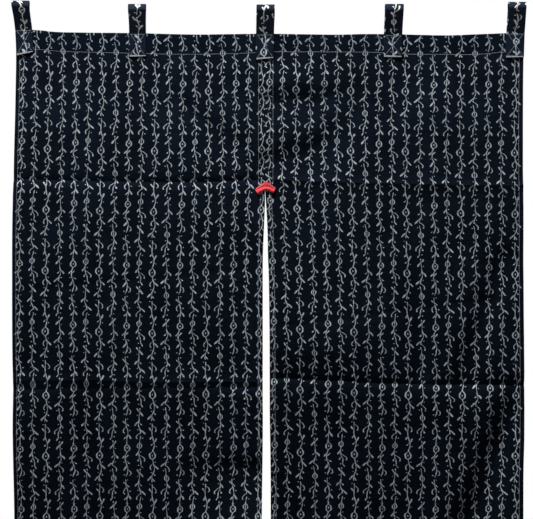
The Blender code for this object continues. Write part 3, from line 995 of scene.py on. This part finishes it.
# The tack: a flat band of thick red thread arched across the top of the slit, and behind it the
# strands that rise to a peak. Each row is a place along the arch: the band's lower edge, its upper
# edge and the top of the strands behind.
tackColumns = ("xLow", "zLow", "xBand", "zBand", "xTop", "zTop")
tackRows = (
    (-0.0120, -0.3156, -0.0160, -0.3090, -0.0166, -0.3080),
    (-0.0096, -0.3138, -0.0133, -0.3076, -0.0141, -0.3048),
    (-0.0071, -0.3121, -0.0106, -0.3064, -0.0100, -0.3018),
    (-0.0043, -0.3104, -0.0072, -0.3049, -0.0062, -0.2994),
    (-0.0017, -0.3088, -0.0038, -0.3033, -0.0030, -0.2962),
    (0.0012, -0.3078, 0.0010, -0.3025, 0.0004, -0.2938),
    (0.0046, -0.3086, 0.0060, -0.3030, 0.0042, -0.2949),
    (0.0072, -0.3100, 0.0096, -0.3044, 0.0084, -0.2990),
    (0.0096, -0.3116, 0.0122, -0.3056, 0.0124, -0.3018),
    (0.0116, -0.3124, 0.0144, -0.3061, 0.0150, -0.3034),
    (0.0134, -0.3132, 0.0166, -0.3066, 0.0171, -0.3048),
)
strandColumns = ("set", "share", "radius", "out", "phase")
strandRows = (
    ("behind", 0.94, 0.00075, 0.0009, 0.3),
    ("behind", 0.76, 0.00090, 0.0012, 2.9),
    ("behind", 0.57, 0.00095, 0.0014, 1.7),
    ("behind", 0.38, 0.00095, 0.0014, 0.6),
    ("behind", 0.18, 0.00090, 0.0012, 2.2),
    ("band", 0.93, 0.00075, 0.0022, 0.9),
    ("band", 0.76, 0.00085, 0.0028, 2.5),
    ("band", 0.59, 0.00085, 0.0031, 0.2),
    ("band", 0.42, 0.00085, 0.0031, 1.5),
    ("band", 0.25, 0.00085, 0.0027, 2.8),
    ("band", 0.08, 0.00075, 0.0020, 0.7),
)
tack = {
    "rings": 56,
    "sides": 10,
    "twist": 0.0042,
    "plyDepth": 0.16,
    "smoothing": 5,
    "lift": 0.0002,  # how far in front of the cloth it starts
}


def makeTack(bright, dark, cutEnd):
    rows = table(tackColumns, tackRows)
    vertices = []
    faces = []
    materials = []
    for strand in table(strandColumns, strandRows):
        isBand = strand["set"] == "band"
        lowName, topName = ("Low", "Band") if isBand else ("Band", "Top")
        fine = np.linspace(0.0, len(rows) - 1, tack["rings"])
        line = []
        for axis in ("x", "z"):
            low = np.array([row[axis + lowName] for row in rows])
            top = np.array([row[axis + topName] for row in rows])
            values = np.interp(fine, np.arange(len(rows)), low + (top - low) * strand["share"])
            for _ in range(tack["smoothing"]):
                values[1:-1] = (values[:-2] + 2 * values[1:-1] + values[2:]) / 4
            line.append(values)
        x, z = line
        y = curtain["frontY"] - tack["lift"] - pushAt(x, z, "right") - strand["out"]
        middle = np.stack([x, y, z], -1)
        ahead = unitRows(np.gradient(middle, axis=0))
        across = unitRows(np.cross(ahead, np.array([0.0, -1.0, 0.0])))
        up = np.cross(across, ahead)
        run = runAlong(middle)
        start = len(vertices)
        for index in range(tack["rings"]):
            for side in range(tack["sides"]):
                angle = 2 * math.pi * side / tack["sides"]
                turn = angle - 2 * math.pi * run[index] / tack["twist"] + strand["phase"]
                radius = strand["radius"] * (1 - tack["plyDepth"] * (1 - abs(math.cos(turn))))
                ray = across[index] * math.cos(angle) + up[index] * math.sin(angle)
                vertices.append((middle[index] + ray * radius).tolist())
        tube = tubeFaces(tack["rings"], tack["sides"], start)
        faces += tube
        # the strands behind take the red thread's darker copy, a painted shade
        materials += [0 if isBand else 1] * (len(tube) - 2) + [2, 2]  # its cut ends are paler
    knot = addPiece("slitTack", vertices, faces, [bright, dark, cutEnd], materials)
    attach(knot, "root")
    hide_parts("slit_tack")


# The print: running vines in columns, charted in millimetres down and across a column

vine = {
    "pitch": 0.0221,
    "stretch": {"left": 1.0, "right": 1.032},  # the right panel's cloth was cut where it had stretched
    "repeat": 101.0,
    "acrossRange": (-10.0, 10.0),
    "widthRange": (-3.0, 5.0),
    "inkEdge": 0.34,
    "wobble": 0.45,
    "wobbleSize": 0.0014,
    "drift": 0.0011,  # the printing screen's small drift, so that no two repeats are alike
    "driftSize": 0.0080,
    "blotSize": 0.0050,
    "noInk": -9.0,  # a depth that is outside all ink
    "joinGap": 0.004,  # no point of a curve is this close to its ends
    "columnMiddle": {"left": -0.4029, "right": 0.0062},  # where one column lies on each panel
    "columnsLeft": 100,  # this and layTop keep places on the cloth above zero
    "layTop": 2.0,
}

# Each stem as steps down, across and width; a negative width is bare
stems = {
    "trailing": (
        (0, 0.4, 1.6), (3, 0.6, 0.9), (6, 0.9, -1.0), (9, 1.0, 2.4), (12, 0.9, -1.0), (15, 0.6, 0.9),
        (21, -1.6, 1.8), (29, -2.2, 1.0), (36, 0.4, 1.6), (43, 2.0, 0.9), (50, 1.4, 1.9),
        (56, -0.6, 0.9), (59, -1.2, -1.0), (62, -1.6, 1.3), (70, -1.0, 0.8), (77, 1.0, 1.9),
        (84, 2.2, 0.9), (90, 1.6, 1.7), (96, 0.6, 0.9),
    ),
    "climbing": (
        (0, -1.2, 1.6), (7, -2.2, 0.9), (14, -0.2, 1.8), (21, 1.8, 0.8), (24, 2.0, -1.0),
        (27, 1.6, 1.4), (34, 0.2, 0.8), (40, -0.4, 1.3), (47, -0.8, 0.8), (54, -1.8, 1.8),
        (61, -0.4, 0.9), (68, 2.0, 1.7), (75, 1.8, 0.9), (79, 1.0, -1.0), (82, 0.4, 2.0),
        (85, 0.0, -1.0), (88, -0.4, 1.2), (95, -0.8, 0.8),
    ),
    "budding": (
        (0, 1.4, 0.9), (6, 0.0, 1.8), (13, -2.0, 0.9), (19, -1.4, 1.7), (25, 0.4, 0.9),
        (30, 1.0, -1.0), (33, 1.0, 2.2), (36, 0.9, -1.0), (40, 0.6, 0.9), (47, -1.2, 1.6),
        (55, -2.2, 0.9), (62, -0.6, 1.9), (69, 1.6, 0.8), (75, 2.0, 1.5), (79, 1.6, -1.0),
        (82, 1.2, 1.4), (89, 1.2, 0.8), (95, 1.6, 1.7),
    ),
}

# What grows from each stem: how far down it starts, on which side, and how large it is
markColumns = ("motif", "down", "side", "size")
marks = {
    "trailing": (
        ("petal", 2, -1, 1.45), ("leaf", 20, -1, 0.9), ("seed", 31, -1, 1.0), ("leaf", 37, -1, 1.3),
        ("seed", 52, -1, 1.2), ("sprout", 64, -1, 0.8), ("tendril", 74, -1, 1.35),
        ("leaf", 89, -1, 0.9), ("petal", 2, 1, 1.45), ("sprout", 19, 1, 0.9), ("berry", 30, 1, 1.1),
        ("tendril", 44, 1, 1.2), ("seed", 60, 1, 1.0), ("leaf", 68, 1, 0.8), ("seed", 79, 1, 1.2),
        ("leaf", 86, 1, 1.25),
    ),
    "climbing": (
        ("leaf", 1, -1, 1.2), ("seed", 14, -1, 1.0), ("tendril", 20, -1, 1.3),
        ("petal", 36, -1, 1.2), ("leaf", 52, -1, 1.0), ("berry", 62, -1, 1.2), ("seed", 73, -1, 1.1),
        ("sprout", 80, -1, 1.0), ("seed", 92, -1, 0.9), ("berry", 3, 1, 1.1), ("leaf", 14, 1, 1.3),
        ("seed", 28, 1, 1.1), ("petal", 36, 1, 1.2), ("seed", 51, 1, 1.0), ("tendril", 57, 1, 1.35),
        ("leaf", 74, 1, 0.8), ("leaf", 86, 1, 1.2),
    ),
    "budding": (
        ("sprout", 3, -1, 1.2), ("seed", 17, -1, 1.0), ("petal", 25, -1, 1.6), ("seed", 43, -1, 1.0),
        ("leaf", 48, -1, 1.2), ("berry", 62, -1, 1.1), ("leaf", 71, -1, 0.8),
        ("tendril", 84, -1, 1.3), ("leaf", 1, 1, 0.9), ("berry", 12, 1, 1.1), ("petal", 25, 1, 1.6),
        ("tendril", 46, 1, 1.25), ("seed", 60, 1, 1.1), ("leaf", 66, 1, 1.3), ("seed", 80, 1, 1.0),
        ("sprout", 87, 1, 1.0),
    ),
}

# Each motif as steps down, out from its stem, and width; a negative width is bare
motifColumns = ("down", "out", "width")
motifs = {
    "leaf": ((0.0, 0.5, 0.8), (1.8, 1.6, 1.4), (4.2, 3.4, 2.9), (6.4, 4.8, 1.7), (7.8, 5.4, -0.9)),
    "sprout": ((0.0, 5.2, -0.9), (1.4, 4.8, 1.7), (3.6, 3.6, 2.9), (6.0, 1.8, 1.4), (7.8, 0.5, 0.8)),
    "berry": ((0.0, 0.4, 0.7), (1.6, 2.0, 0.8), (2.8, 3.4, 1.2), (3.9, 4.0, 2.7), (5.2, 4.2, -1.2)),
    "seed": ((0.0, 3.2, -1.5), (1.3, 3.4, 2.2), (2.6, 3.5, -1.5)),
    "tendril": (
        (0.0, 0.4, 0.8), (1.6, 2.2, 1.2), (3.8, 4.4, 1.3), (6.2, 5.2, 1.3), (8.0, 4.4, 1.6),
        (9.0, 3.6, -0.9),
    ),
    "petal": (
        (0.0, 0.2, 0.8), (2.0, 1.6, 1.2), (5.0, 2.9, 1.6), (7.2, 2.5, 1.5), (9.8, 0.2, 0.8),
    ),
}

# The four columns that repeat across the cloth
columnColumns = ("vine", "mirror", "shift")
columnRows = (
    ("trailing", 1, 0.0),
    ("climbing", 1, 37.0),
    ("budding", -1, 12.0),
    ("climbing", -1, 84.0),
)


# Rows of down, across and width for what grows on one side of a stem
def markStrand(name, side):
    stem = np.array(stems[name])
    rows = []
    for mark in table(markColumns, marks[name]):
        if mark["side"] != side:
            continue
        for step in table(motifColumns, motifs[mark["motif"]]):
            down = (mark["down"] + step["down"] * mark["size"]) % vine["repeat"]
            middle = float(np.interp(down, stem[:, 0], stem[:, 1], period=vine["repeat"]))
            across = middle + side * step["out"] * mark["size"]
            width = step["width"] * (mark["size"] if step["width"] > 0 else 1)
            rows.append((down, across, width))
    return sorted(rows)


# A value on the chart as it stands at the repeat's join, between its last row and its first
def joinValue(rows, column):
    first = rows[0]
    last = rows[-1]
    span = first[0] + vine["repeat"] - last[0]
    return last[column] + (first[column] - last[column]) * (vine["repeat"] - last[0]) / span


# Nodes that give how deep in the ink a place is, in millimetres, below zero outside it
def inkDepth(tree, layU, layV, thinning):
    columns = table(columnColumns, columnRows)
    columnPlace = addNode(tree, "Math", {"operation": "DIVIDE"}, {0: layU, 1: vine["pitch"]})
    number = addNode(tree, "Math", {"operation": "FLOOR"}, {0: columnPlace})
    inColumn = addNode(tree, "Math", {"operation": "FRACT"}, {0: columnPlace})
    across = addNode(tree, "MapRange", {"clamp": False}, {
        "Value": inColumn, "To Min": -500 * vine["pitch"], "To Max": 500 * vine["pitch"],
    })
    which = addNode(tree, "Math", {"operation": "FLOORED_MODULO"}, {
        0: number, 1: float(len(columns)),
    })
    chosen = []
    shift = 0.0
    mirror = 0.0
    for index, column in enumerate(columns):
        isThis = addNode(tree, "Math", {"operation": "COMPARE"}, {0: which, 1: float(index), 2: 0.5})
        chosen.append(isThis)
        shift = addNode(tree, "Math", {"operation": "MULTIPLY_ADD"}, {
            0: isThis, 1: column["shift"], 2: shift,
        })
        mirror = addNode(tree, "Math", {"operation": "MULTIPLY_ADD"}, {
            0: isThis, 1: float(column["mirror"]), 2: mirror,
        })
    down = addNode(tree, "Math", {"operation": "MULTIPLY_ADD"}, {0: layV, 1: 1000.0, 2: shift})
    turns = addNode(tree, "Math", {"operation": "DIVIDE"}, {0: down, 1: vine["repeat"]})
    along = addNode(tree, "Math", {"operation": "FRACT"}, {0: turns})
    side = addNode(tree, "Math", {"operation": "MULTIPLY"}, {0: across, 1: mirror})
    total = 0.0
    for name in stems:
        depth = vine["noInk"]
        for rows in (sorted(stems[name]), markStrand(name, -1), markStrand(name, 1)):
            readings = []
            for column, limits in ((1, vine["acrossRange"]), (2, vine["widthRange"])):
                curve = addNode(tree, "FloatCurve", None, {"Value": along})
                line = curve.mapping.curves[0]
                join = (joinValue(rows, column) - limits[0]) / (limits[1] - limits[0])
                line.points[0].location = (0.0, join)
                line.points[1].location = (1.0, join)
                for row in rows:
                    place = row[0] / vine["repeat"]
                    if vine["joinGap"] < place < 1 - vine["joinGap"]:
                        line.points.new(place, (row[column] - limits[0]) / (limits[1] - limits[0]))
                curve.mapping.update()
                readings.append(addNode(tree, "MapRange", {"clamp": False}, {
                    "Value": curve, "To Min": limits[0], "To Max": limits[1],
                }))
            off = addNode(tree, "Math", {"operation": "SUBTRACT"}, {0: side, 1: readings[0]})
            far = addNode(tree, "Math", {"operation": "ABSOLUTE"}, {0: off})
            half = addNode(tree, "Math", {"operation": "MULTIPLY"}, {0: readings[1], 1: thinning / 2})
            inside = addNode(tree, "Math", {"operation": "SUBTRACT"}, {0: half, 1: far})
            depth = addNode(tree, "Math", {"operation": "MAXIMUM"}, {0: inside, 1: depth})
        share = 0.0
        for isThis, column in zip(chosen, columns):
            if column["vine"] == name:
                share = addNode(tree, "Math", {"operation": "ADD"}, {0: isThis, 1: share})
        total = addNode(tree, "Math", {"operation": "MULTIPLY_ADD"}, {0: share, 1: depth, 2: total})
    return total


# Plain-weave cotton, vat-dyed navy with a pale discharge print. Matt; the ink sits in the threads, so
# it keeps the weave. Cellulose has an index near 1.53.
printedCotton = {
    "ground": "#080D16",
    "groundWorn": "#0D151F",
    "ink": "#A1A9B0",
    "inkThin": "#6E767E",
    "thinInk": 0.34,  # noise levels between which the ink goes from thin to full
    "fullInk": 0.60,
    "inkGloss": 0.08,  # how much smoother the ink is than the cloth
    "ior": 1.53,
    "roughness": 0.88,
    "specular": 0.015,
    "threadSpacing": 0.0010,  # real threads lie 0.5 mm apart, drawn twice as coarse so that they show
    "threadHeight": 0.00010,
    "slubLength": 0.030,
    "slubWidth": 0.0016,
    "slubHeight": 0.8,  # against the threads' own height
    "bumpStrength": 0.55,
    "patchScale": 14.0,
    "wornFrom": 0.15,
    "wornTo": 0.38,
    "shadeFrom": 2.10,  # painted shade: the ground is painted darker downwards from this height, and is at its darkest from the next height down
    "shadeTo": 2.72,
    "darkestShade": 0.64,
}

# What differs between the cotton's faces: how strong and how wide its ink is, how pale its ground
# is at the top, and its tone above a height. Above that height the heading is painted darker, a
# painted shade, and the tabs' loops are painted paler and browner, a painted highlight.
cottonColumns = ("name", "ink", "thinning", "upperTone", "tone", "toneFrom", "toneTo")
cottonRows = (
    ("printedCottonFront", 0.92, 0.86, 1.0, (0.76, 0.80, 0.82), -0.088, -0.072),
    ("printedCottonBack", 0.34, 0.86, 1.0, (0.76, 0.80, 0.82), -0.088, -0.072),
    ("printedCottonTab", 1.0, 1.15, 1.6, (1.60, 1.42, 1.28), -0.052, -0.040),
)


def makePrintedCotton(kind):
    cloth = printedCotton
    material, tree = newMaterial(kind["name"])
    lay = addNode(tree, "UVMap", {"uv_map": "clothLay"})
    parts = addNode(tree, "SeparateXYZ", None, {"Vector": lay})
    layU = parts.outputs["X"]
    layV = parts.outputs["Y"]
    flat = addNode(tree, "CombineXYZ", None, {"X": layU, "Y": layV})
    drift = addNode(tree, "TexNoise", None, {
        "Vector": flat, "Scale": 1 / vine["driftSize"], "Detail": 1.0,
    })
    centred = addNode(tree, "VectorMath", {"operation": "SUBTRACT"}, {
        0: drift.outputs["Color"], 1: (0.5, 0.5, 0.5),
    })
    moved = addNode(tree, "VectorMath", {"operation": "MULTIPLY_ADD"}, {
        0: centred, 1: (2 * vine["drift"], 2 * vine["drift"], 0.0), 2: flat,
    })
    movedParts = addNode(tree, "SeparateXYZ", None, {"Vector": moved})
    depth = inkDepth(tree, movedParts.outputs["X"], movedParts.outputs["Y"], kind["thinning"])
    rough = addNode(tree, "TexNoise", None, {
        "Vector": flat, "Scale": 1 / vine["wobbleSize"], "Detail": 1.0,
    })
    ragged = addNode(tree, "MapRange", {"clamp": False}, {
        "Value": rough.outputs["Fac"], "To Min": -vine["wobble"], "To Max": vine["wobble"],
    })
    inked = addNode(tree, "Math", {"operation": "ADD"}, {0: depth, 1: ragged})
    ink = addNode(tree, "MapRange", {"interpolation_type": "SMOOTHSTEP"}, {
        "Value": inked, "From Min": -vine["inkEdge"], "From Max": vine["inkEdge"],
        "To Min": 0.0, "To Max": kind["ink"],
    })
    # slubs: thicker stretches of weft thread that take the dye a little lighter
    slubPlace = addNode(tree, "CombineXYZ", None, {
        "X": addNode(tree, "Math", {"operation": "DIVIDE"}, {0: layU, 1: cloth["slubLength"]}),
        "Y": addNode(tree, "Math", {"operation": "DIVIDE"}, {0: layV, 1: cloth["slubWidth"]}),
    })
    slub = addNode(tree, "TexNoise", None, {"Vector": slubPlace, "Scale": 1.0, "Detail": 2.0})
    patches = addNode(tree, "TexNoise", None, {
        "Vector": flat, "Scale": cloth["patchScale"], "Detail": 2.0,
    })
    wear = addNode(tree, "Math", {"operation": "MULTIPLY"}, {
        0: slub.outputs["Fac"], 1: patches.outputs["Fac"],
    })
    wearShare = addNode(tree, "MapRange", None, {
        "Value": wear, "From Min": cloth["wornFrom"], "From Max": cloth["wornTo"],
    })
    ground = addNode(tree, "Mix", {"data_type": "RGBA"}, {
        "Factor": wearShare, 6: linearColour(cloth["ground"]), 7: linearColour(cloth["groundWorn"]),
    })
    # painted shade: the ground is scaled from upperTone at the top to a darker tone lower down, so the
    # cloth darkens towards the bottom
    paintedShade = addNode(tree, "MapRange", None, {
        "Value": layV, "From Min": cloth["shadeFrom"], "From Max": cloth["shadeTo"],
        "To Min": kind["upperTone"], "To Max": cloth["darkestShade"],
    })
    shadedGround = addNode(tree, "VectorMath", {"operation": "SCALE"}, {
        0: ground.outputs[2], "Scale": paintedShade,
    })
    blots = addNode(tree, "TexNoise", None, {
        "Vector": flat, "Scale": 1 / vine["blotSize"], "Detail": 2.0,
    })
    fullInk = addNode(tree, "MapRange", None, {
        "Value": blots.outputs["Fac"], "From Min": cloth["thinInk"], "From Max": cloth["fullInk"],
    })
    inkTone = addNode(tree, "Mix", {"data_type": "RGBA"}, {
        "Factor": fullInk, 6: linearColour(cloth["inkThin"]), 7: linearColour(cloth["ink"]),
    })
    printed = addNode(tree, "Mix", {"data_type": "RGBA"}, {
        "Factor": ink, 6: shadedGround, 7: inkTone.outputs[2],
    })
    # painted shade and painted highlight: above a height the heading's ground is painted darker and
    # the tabs' loops paler and browner
    geometry = addNode(tree, "NewGeometry")
    height = addNode(tree, "SeparateXYZ", None, {"Vector": geometry.outputs["Position"]})
    above = addNode(tree, "MapRange", {"interpolation_type": "SMOOTHSTEP"}, {
        "Value": height.outputs["Z"], "From Min": kind["toneFrom"], "From Max": kind["toneTo"],
    })
    tone = addNode(tree, "Mix", {"data_type": "RGBA"}, {
        "Factor": above, 6: white, 7: (*kind["tone"], 1.0),
    })
    colour = addNode(tree, "VectorMath", {"operation": "MULTIPLY"}, {
        0: printed.outputs[2], 1: tone.outputs[2],
    })
    # weave: warp over weft in a checker of crossing threads
    threads = []
    for place in (layU, layV):
        phase = addNode(tree, "Math", {"operation": "MULTIPLY"}, {
            0: place, 1: math.pi / cloth["threadSpacing"],
        })
        threads.append(addNode(tree, "Math", {"operation": "SINE"}, {0: phase}))
    weave = addNode(tree, "Math", {"operation": "MULTIPLY"}, {0: threads[0], 1: threads[1]})
    uneven = addNode(tree, "Math", {"operation": "MULTIPLY_ADD"}, {
        0: slub.outputs["Fac"], 1: cloth["slubHeight"], 2: weave,
    })
    bump = addNode(tree, "Bump", None, {
        "Strength": cloth["bumpStrength"], "Distance": cloth["threadHeight"], "Height": uneven,
    })
    dry = addNode(tree, "MapRange", None, {
        "Value": ink, "To Min": cloth["roughness"], "To Max": cloth["roughness"] - cloth["inkGloss"],
    })
    shader = addNode(tree, "BsdfPrincipled", None, {
        "Base Color": colour,
        "Roughness": dry,
        "Normal": bump,
        "IOR": cloth["ior"],
        "Specular IOR Level": cloth["specular"],
    })
    addNode(tree, "OutputMaterial", None, {"Surface": shader})
    return material


# Spun thread: twisted strands, matt with a slight gloss along the fibre. Where the red thread is
# cut, its fibre shows pale.
spunThread = {"ior": 1.53, "specular": 0.3, "sheen": 0.1, "bumpStrength": 0.4}
threadColumns = ("name", "low", "high", "roughness", "fibreWidth")
threadRows = (
    ("spunCottonThread", "#767E86", "#767E86", 0.75, 0.0003),
    ("spunCottonHeavyThread", "#8E959B", "#8E959B", 0.75, 0.0003),
    ("redCordThread", "#BE2731", "#D23841", 0.62, 0.0004),
    # painted shade: a darker copy of the red thread, for the strands behind the band
    ("redCordThreadShade", "#941A25", "#BE2731", 0.62, 0.0004),
    ("redCordCutEnd", "#E9A5A6", "#E9A5A6", 0.90, 0.0004),
)


def makeThread(kind):
    material, tree = newMaterial(kind["name"])
    place = addNode(tree, "TexCoord")
    fibre = addNode(tree, "TexNoise", None, {
        "Vector": place.outputs["Object"], "Scale": 1 / (kind["fibreWidth"] * 2), "Detail": 2.0,
    })
    tone = addNode(tree, "Mix", {"data_type": "RGBA"}, {
        "Factor": fibre.outputs["Fac"], 6: linearColour(kind["low"]), 7: linearColour(kind["high"]),
    })
    bump = addNode(tree, "Bump", None, {
        "Strength": spunThread["bumpStrength"], "Distance": kind["fibreWidth"] / 3,
        "Height": fibre.outputs["Fac"],
    })
    shader = addNode(tree, "BsdfPrincipled", None, {
        "Base Color": tone.outputs[2],
        "Roughness": kind["roughness"],
        "Normal": bump,
        "IOR": spunThread["ior"],
        "Specular IOR Level": spunThread["specular"],
        "Sheen Weight": spunThread["sheen"],
    })
    addNode(tree, "OutputMaterial", None, {"Surface": shader})
    return material


# Making it all

makeCamera()
makeStage()
makeWorld()
print("camera, stage and light made")

clothFront, clothBack, tabCotton = [
    makePrintedCotton(kind) for kind in table(cottonColumns, cottonRows)
]
thread, heavyThread, brightRed, darkRed, cutRed = [
    makeThread(kind) for kind in table(threadColumns, threadRows)
]
print("materials made")

panels = [
    makePanel("left", "panelLeft", "panel_left", clothFront, clothBack),
    makePanel("right", "panelRight", "panel_right", clothFront, clothBack),
]
straps = [makeTab(row, tabCotton) for row in tabs]
print("panels and tabs made")

seams = [
    makePanelStitches("left", "panelLeftStitches", thread),
    makePanelStitches("right", "panelRightStitches", thread),
]
makeTabStitches("tabStitches", "tabFootStitches", thread, heavyThread)
makeTack(brightRed, darkRed, cutRed)
print("stitches and tack made")
